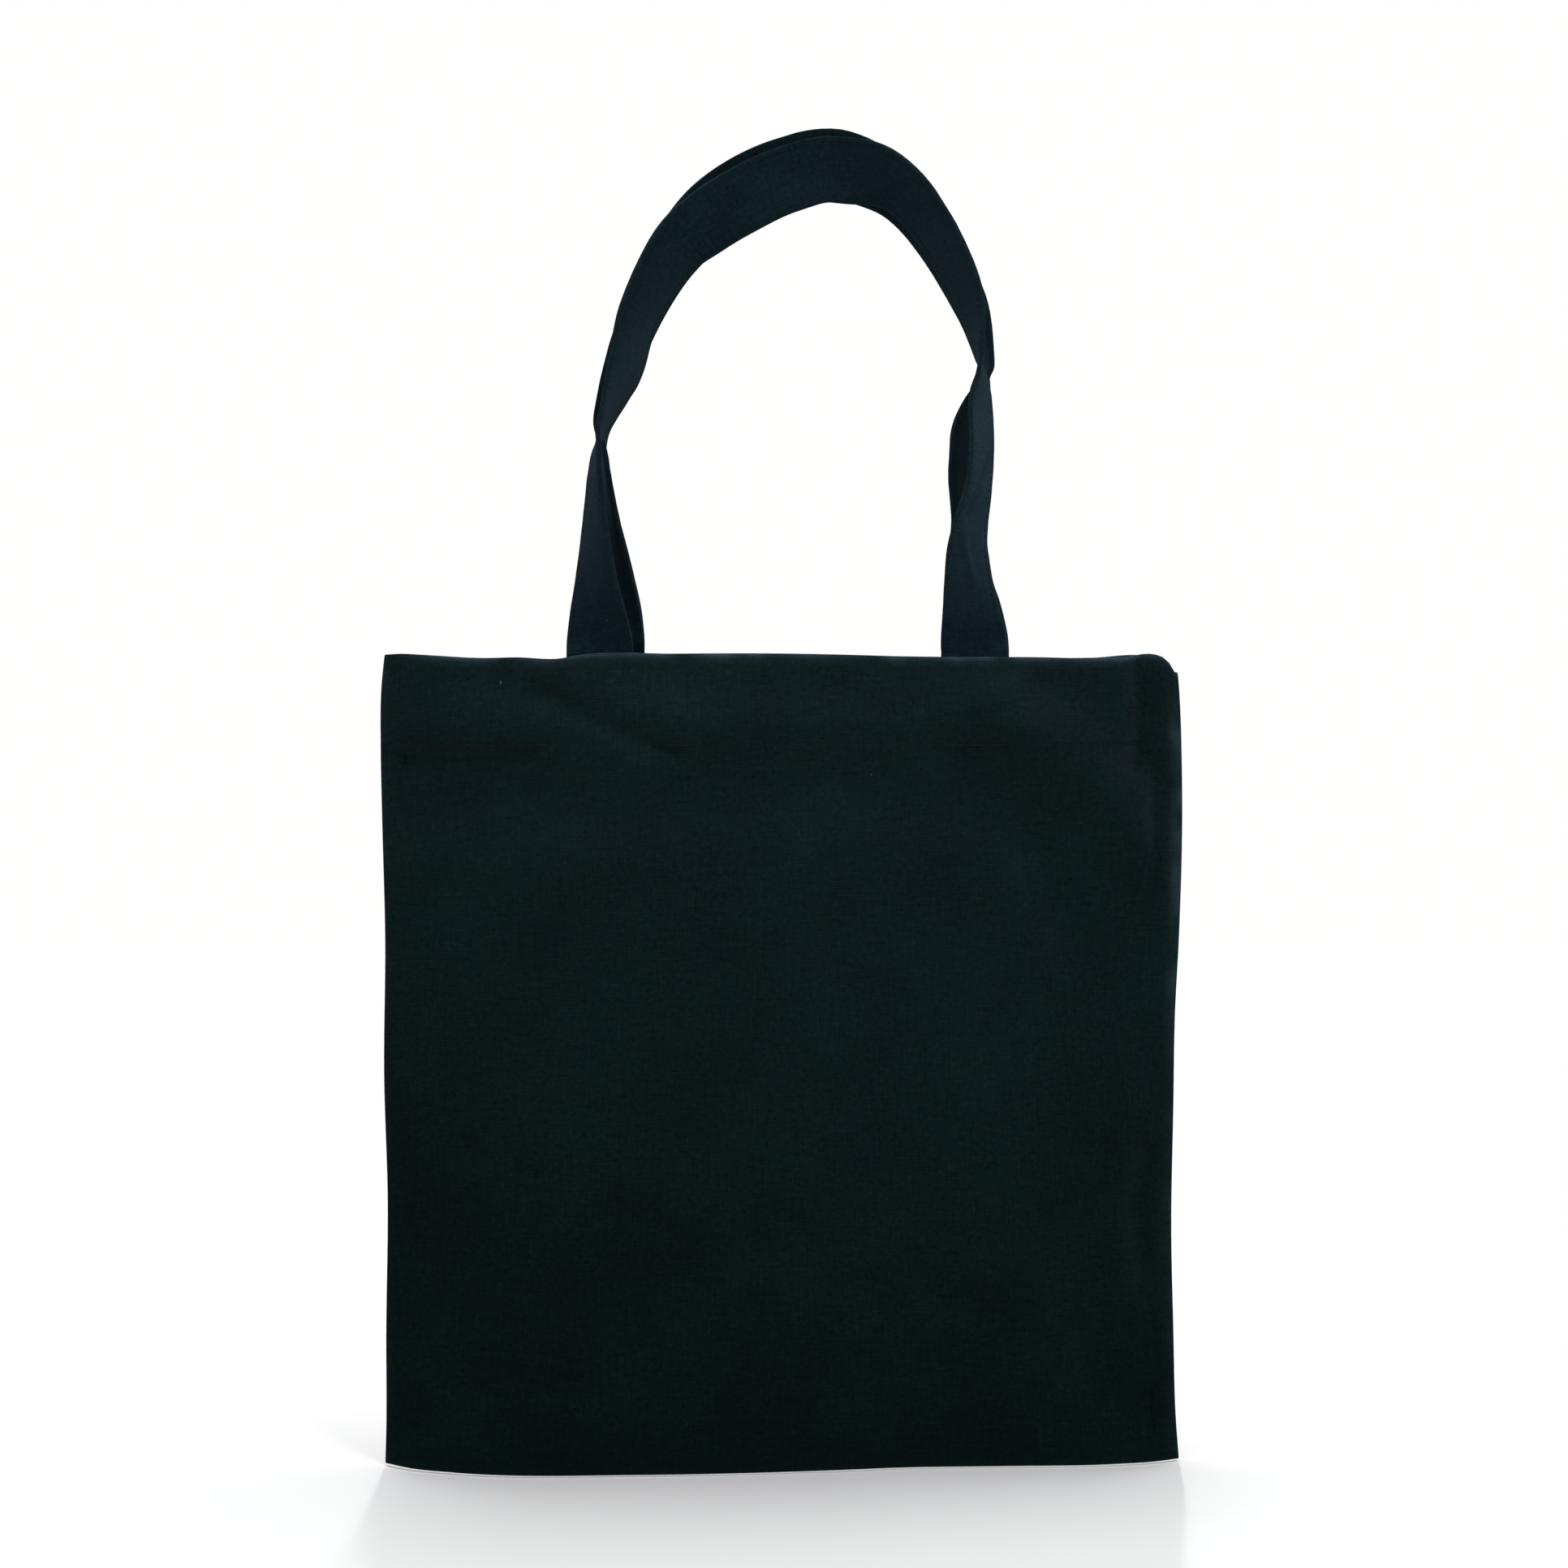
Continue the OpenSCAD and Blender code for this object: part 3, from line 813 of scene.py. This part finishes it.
def canvas_material(name, slot, sheen_tint, thick=1.0):
    """Plain-woven cotton canvas: yarns over and under, slubs, uneven dye, rubbed folds with painted
    highlights, and a little lint.
    """
    n = Nodes(name)
    colour = slot_colour(slot)
    flat = n.add("UVMap", uv_map="cloth").outputs[0]
    wander = n.add("TexNoise", {"Vector": flat, "Scale": 190.0, "Detail": 1.0}).outputs["Color"]
    drift = n.add("VectorMath", {0: wander, 1: (0.5, 0.5, 0.5)}, operation="SUBTRACT").outputs[0]
    small = n.add("VectorMath", {0: drift, "Scale": 0.0011}, operation="SCALE").outputs[0]
    place = n.add("VectorMath", {0: flat, 1: small}, operation="ADD").outputs[0]
    axes = n.add("SeparateXYZ", {0: place})
    turns = np.pi / (WEAVE_PITCH * thick)
    warp = n.math("SINE", n.math("MULTIPLY", axes.outputs[0], turns))
    weft = n.math("SINE", n.math("MULTIPLY", axes.outputs[1], turns))
    crossing = n.math("MULTIPLY", warp, weft)
    knuckle = n.math("MULTIPLY", n.math("ABSOLUTE", warp), n.math("ABSOLUTE", weft))
    # Slubs run along the yarns, some down the cloth and some across it
    warp_slub = n.noise(n.stretched(flat, 1400, 55), 1.0)
    weft_slub = n.noise(n.stretched(flat, 55, 1400), 1.0)
    over = n.math("GREATER_THAN", crossing, 0.0)
    slub = n.add("Mix", {0: over, 2: weft_slub, 3: warp_slub}, data_type="FLOAT").outputs[0]
    dye = n.noise(flat, 16.0, 5.0, 0.6)
    cloud = n.noise(flat, 5.5, 2.0)
    fuzz = n.noise(flat, 2600.0, 3.0, 0.7)
    mottle = n.noise(flat, 420.0, 3.0, 0.6)
    tone = n.spread(knuckle, 0.0, 0.9, 0.62, 1.14)
    for value, change in ((slub, 0.3), (dye, 0.16), (cloud, 0.12), (fuzz, 0.14), (mottle, 0.28)):
        tone = n.math("MULTIPLY", tone, n.spread(value, 0.3, 0.7, 1 - change, 1 + change))
    greener = tuple(c * k for c, k in zip(colour, (0.94, 1.06, 0.98)))
    dark = n.mix(n.spread(dye, 0.35, 0.65, 0.0, 1.0), opaque(colour), opaque(greener))
    dyed = n.add("VectorMath", {0: dark, "Scale": tone}, operation="SCALE").outputs[0]
    # Rubbed seams lighten, and the same attribute paints a highlight along the mouth and one side edge
    wear_and_highlight = n.add("Attribute", attribute_name="wear_and_highlight").outputs["Fac"]
    rubbed_and_highlight = n.math("MULTIPLY", wear_and_highlight, n.spread(knuckle, 0.25, 0.9, 0.25, 1.0))
    worn_and_highlit = n.mix(rubbed_and_highlight, dyed, RUBBED_AND_HIGHLIGHT)
    lint = lint_mask(n, flat)
    n.put(n.shader.inputs["Base Color"], n.mix(lint, worn_and_highlit, LINT))
    n.put(n.shader.inputs["Roughness"], n.spread(knuckle, 0.0, 1.0, 0.96, 0.84))
    n.shader.inputs["Specular IOR Level"].default_value = 0.01
    n.shader.inputs["Sheen Weight"].default_value = 0.055
    n.shader.inputs["Sheen Roughness"].default_value = 0.45
    n.shader.inputs["Sheen Tint"].default_value = sheen_tint
    relief = n.math("ADD", knuckle, n.math("MULTIPLY", slub, 0.6))
    relief = n.math("ADD", relief, n.math("MULTIPLY", fuzz, 0.35))
    bump = n.add("Bump", {"Height": relief, "Distance": 0.00022, "Strength": 0.75})
    n.put(n.shader.inputs["Normal"], bump.outputs[0])
    return n.material


def lint_mask(n, flat):
    """1 on a few short pale fibres, scattered over the cloth."""
    cells = n.add("TexVoronoi", {"Vector": n.stretched(flat, 45, 20), "Scale": 1.0, "Randomness": 1.0})
    near = n.math("LESS_THAN", cells.outputs["Distance"], 0.02)
    pick = n.add("SeparateColor", {0: cells.outputs["Color"]}).outputs[0]
    return n.math("MULTIPLY", near, n.math("GREATER_THAN", pick, 0.72))


def thread_material(name, slot, twist):
    """Spun polyester thread: fine twisted plies with a soft shine."""
    n = Nodes(name)
    colour = slot_colour(slot)
    place = n.add("TexCoord").outputs["Object"]
    plies = n.add("TexWave", {"Vector": place, "Scale": twist, "Distortion": 1.5, "Detail": 1.0},
                  bands_direction="DIAGONAL").outputs["Fac"]
    fibre = n.noise(place, 2400.0, 2.0)
    tone = n.math("MULTIPLY", n.spread(plies, 0.0, 1.0, 0.7, 1.15), n.spread(fibre, 0.3, 0.7, 0.85, 1.15))
    dyed = n.add("VectorMath", {0: tuple(colour), "Scale": tone}, operation="SCALE").outputs[0]
    n.put(n.shader.inputs["Base Color"], dyed)
    n.put(n.shader.inputs["Roughness"], n.spread(fibre, 0.3, 0.7, 0.5, 0.7))
    n.shader.inputs["Specular IOR Level"].default_value = 0.02
    bump = n.add("Bump", {"Height": plies, "Distance": 0.0001, "Strength": 0.6})
    n.put(n.shader.inputs["Normal"], bump.outputs[0])
    return n.material


def floor_material():
    """Pale, smooth studio floor with a soft mirror image near what stands on it."""
    n = Nodes("pale_floor")
    place = n.add("TexCoord").outputs["Object"]
    n.put(n.shader.inputs["Roughness"], n.spread(n.noise(place, 3.0), 0.3, 0.7, 0.16, 0.18))
    n.shader.inputs["Base Color"].default_value = (0.93, 0.935, 0.935, 1.0)
    n.shader.inputs["IOR"].default_value = 1.1
    return n.material


# ---- Building the pieces ----

def finish_piece(piece, material, slot, *nodes):
    """Gives the piece its material and hides the CAD nodes that it stands for; slot is not used."""
    piece.data.materials.clear()
    piece.data.materials.append(material)
    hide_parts(*nodes)
    return piece


canvas = canvas_material("canvas_cloth", "canvas", (0.9, 0.74, 1.0, 1.0))
strap_canvas = canvas_material("strap_cloth", "strap_canvas", (0.45, 0.74, 1.0, 1.0), 0.9)
sewing_thread = thread_material("sewing_thread", "sewing_thread", 900.0)
overlock_thread = thread_material("overlock_thread", "overlock_thread", 1200.0)

# Each side: which way it faces, its strap's route, and the allowances that its cloth stands for
SIDES = {
    "front": (FRONT, FRONT_ROUTE, ["left_seam_allowance", "bottom_seam_allowance"]),
    "back": (BACK, BACK_ROUTE, ["right_seam_allowance"]),
}
HANDS = ((-1, "left"), (1, "right"))
for word, (side, route, allowances) in SIDES.items():
    cloth = bag_cloth(side, word + "_cloth")
    finish_piece(cloth, canvas, "canvas", word + "_panel", word + "_hem", *allowances)
    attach(cloth, "bag")

    strap, line = strap_piece(side, route, word + "_strap")
    finish_piece(strap, strap_canvas, "strap_canvas", word + "_handle",
                 word + "_left_strap_end", word + "_right_strap_end")
    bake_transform(strap)
    edging = strap_stitching(line, word + "_strap_edge_stitches")
    finish_piece(edging, sewing_thread, "sewing_thread", word + "_handle_stitching")
    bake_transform(edging)

    for hand, hand_word in HANDS:
        box = box_stitching(side, line, hand, f"{word}_{hand_word}_cross_stitches")
        finish_piece(box, sewing_thread, "sewing_thread", f"{word}_{hand_word}_box_stitch")
        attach(box, "bag")
    hem = hem_stitching(side, word + "_hem_stitches")
    finish_piece(hem, sewing_thread, "sewing_thread", word + "_hem_stitching")
    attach(hem, "bag")

for hand, hand_word in HANDS:
    low, high = node_box(hand_word + "_seam_overlock")
    edge_x = hand * (HALF_W - SEAM_W - OVERLOCK_OUT)
    top = np.array([edge_x, 0, high[2]])
    bottom = np.array([edge_x, 0, low[2]])
    lock = overlock(bottom, top, np.array([hand, 0, 0]), hand_word + "_overlock_loops")
    finish_piece(lock, overlock_thread, "overlock_thread", hand_word + "_seam_overlock")
    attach(lock, "bag")

low, high = node_box("bottom_seam_overlock")
edge_z = MOUTH_Z - BAG_H + SEAM_W + BOTTOM_RISE
lock = overlock(np.array([low[0], 0, edge_z]), np.array([high[0], 0, edge_z + 1]), np.array([0, 0, -1]),
                "bottom_overlock_loops")
finish_piece(lock, overlock_thread, "overlock_thread", "bottom_seam_overlock")
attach(lock, "bag")


# ---- Studio ----

# How far the floor is below the bag, how soon it levels out beside the bag, and how far it goes
FLOOR_CLEAR = 0.4
FLOOR_EASE = 30.0
FLOOR_REACH = 6000.0


def pale_floor():
    """A wide pale floor, which gives a few millimetres so that the bag's bottom meets it all along."""
    across = np.linspace(-HALF_W, HALF_W, 80)
    under = smooth_curve(BOTTOM, across)
    slopes = np.gradient(under, across)[[0, -1]]
    beyond = np.linspace(4, 8 * FLOOR_EASE, 40)
    eased = FLOOR_EASE * (1 - np.exp(-beyond / FLOOR_EASE))
    x = np.concatenate([[-FLOOR_REACH], -HALF_W - beyond[::-1], across, HALF_W + beyond, [FLOOR_REACH]])
    rise = np.concatenate([under[0] - slopes[0] * eased[::-1], under, under[-1] + slopes[1] * eased])
    z = MOUTH_Z - BAG_H - FLOOR_CLEAR + np.concatenate([rise[:1], rise, rise[-1:]])
    points = [[x[i], y, z[i]] for y in (-FLOOR_REACH, FLOOR_REACH) for i in range(len(x))]
    floor = mesh_object("studio_floor", points, grid_faces(2, len(x)))
    floor.data.shade_smooth()
    floor.data.materials.append(floor_material())


LIGHT_SPREAD = 52


def softbox(name, place, aim, size, power, tint=(1, 1, 1)):
    """A square area light with a grid over it, at a place and aimed at another, both in metres."""
    light = bpy.data.lights.new(name, "AREA")
    light.size = size
    light.energy = power
    light.color = tint
    light.spread = np.radians(LIGHT_SPREAD)
    made = bpy.data.objects.new(name, light)
    made.location = place
    toward = Vector(aim) - Vector(place)
    made.rotation_euler = toward.to_track_quat("-Z", "Y").to_euler()
    made.visible_camera = False
    bpy.context.scene.collection.objects.link(made)


def overhead(heading, height, width, strength):
    """A wide soft light far above. heading, height over the horizon and width are in degrees."""
    light = bpy.data.lights.new("overhead", "SUN")
    light.energy = strength
    light.angle = np.radians(width)
    made = bpy.data.objects.new("overhead", light)
    a, e = np.radians(heading), np.radians(height)
    toward = Vector((np.sin(a) * np.cos(e), -np.cos(a) * np.cos(e), np.sin(e)))
    made.rotation_euler = (-toward).to_track_quat("-Z", "Y").to_euler()
    bpy.context.scene.collection.objects.link(made)


def white_room(ambient):
    """White surroundings, which give only a share of their brightness to matte surfaces."""
    world = bpy.data.worlds.new("white_room")
    bpy.context.scene.world = world
    world.use_nodes = True
    tree = world.node_tree
    background = tree.nodes["Background"]
    background.inputs["Color"].default_value = (1.0, 1.0, 0.995, 1.0)
    path = tree.nodes.new("ShaderNodeLightPath")
    amount = tree.nodes.new("ShaderNodeMapRange")
    amount.inputs["To Min"].default_value = 1.0
    amount.inputs["To Max"].default_value = ambient
    tree.links.new(path.outputs["Is Diffuse Ray"], amount.inputs["Value"])
    tree.links.new(amount.outputs["Result"], background.inputs["Strength"])


def studio():
    """White surroundings, a wide light overhead, and softboxes near the front."""
    bpy.context.scene.view_settings.view_transform = "Standard"
    white_room(0.165)
    overhead(180, 85.5, 54, 2.9)
    softbox("near_front", (0.15, -0.42, 0.22), (0.02, 0, -0.15), 0.3, 0.44, (1.05, 0.95, 1.04))
    softbox("left_fill", (-0.65, -0.5, 0.1), (-0.08, 0, -0.1), 0.4, 0.33, (1.1, 0.98, 1.08))
    softbox("right_edge", (0.9, -0.5, -0.3), (0.1, 0, -0.42), 0.4, 0.45, (0.88, 0.96, 1.0))


def camera():
    """Level camera straight in front of the bag."""
    lens = bpy.data.cameras.new("camera")
    lens.lens = 100
    lens.sensor_width = 36
    lens.clip_end = 100
    made = bpy.data.objects.new("camera", lens)
    made.location = (0.0012, -2.072, -0.2695)
    made.rotation_euler = (np.pi / 2, 0, 0)
    bpy.context.scene.collection.objects.link(made)
    bpy.context.scene.camera = made


pale_floor()
studio()
camera()
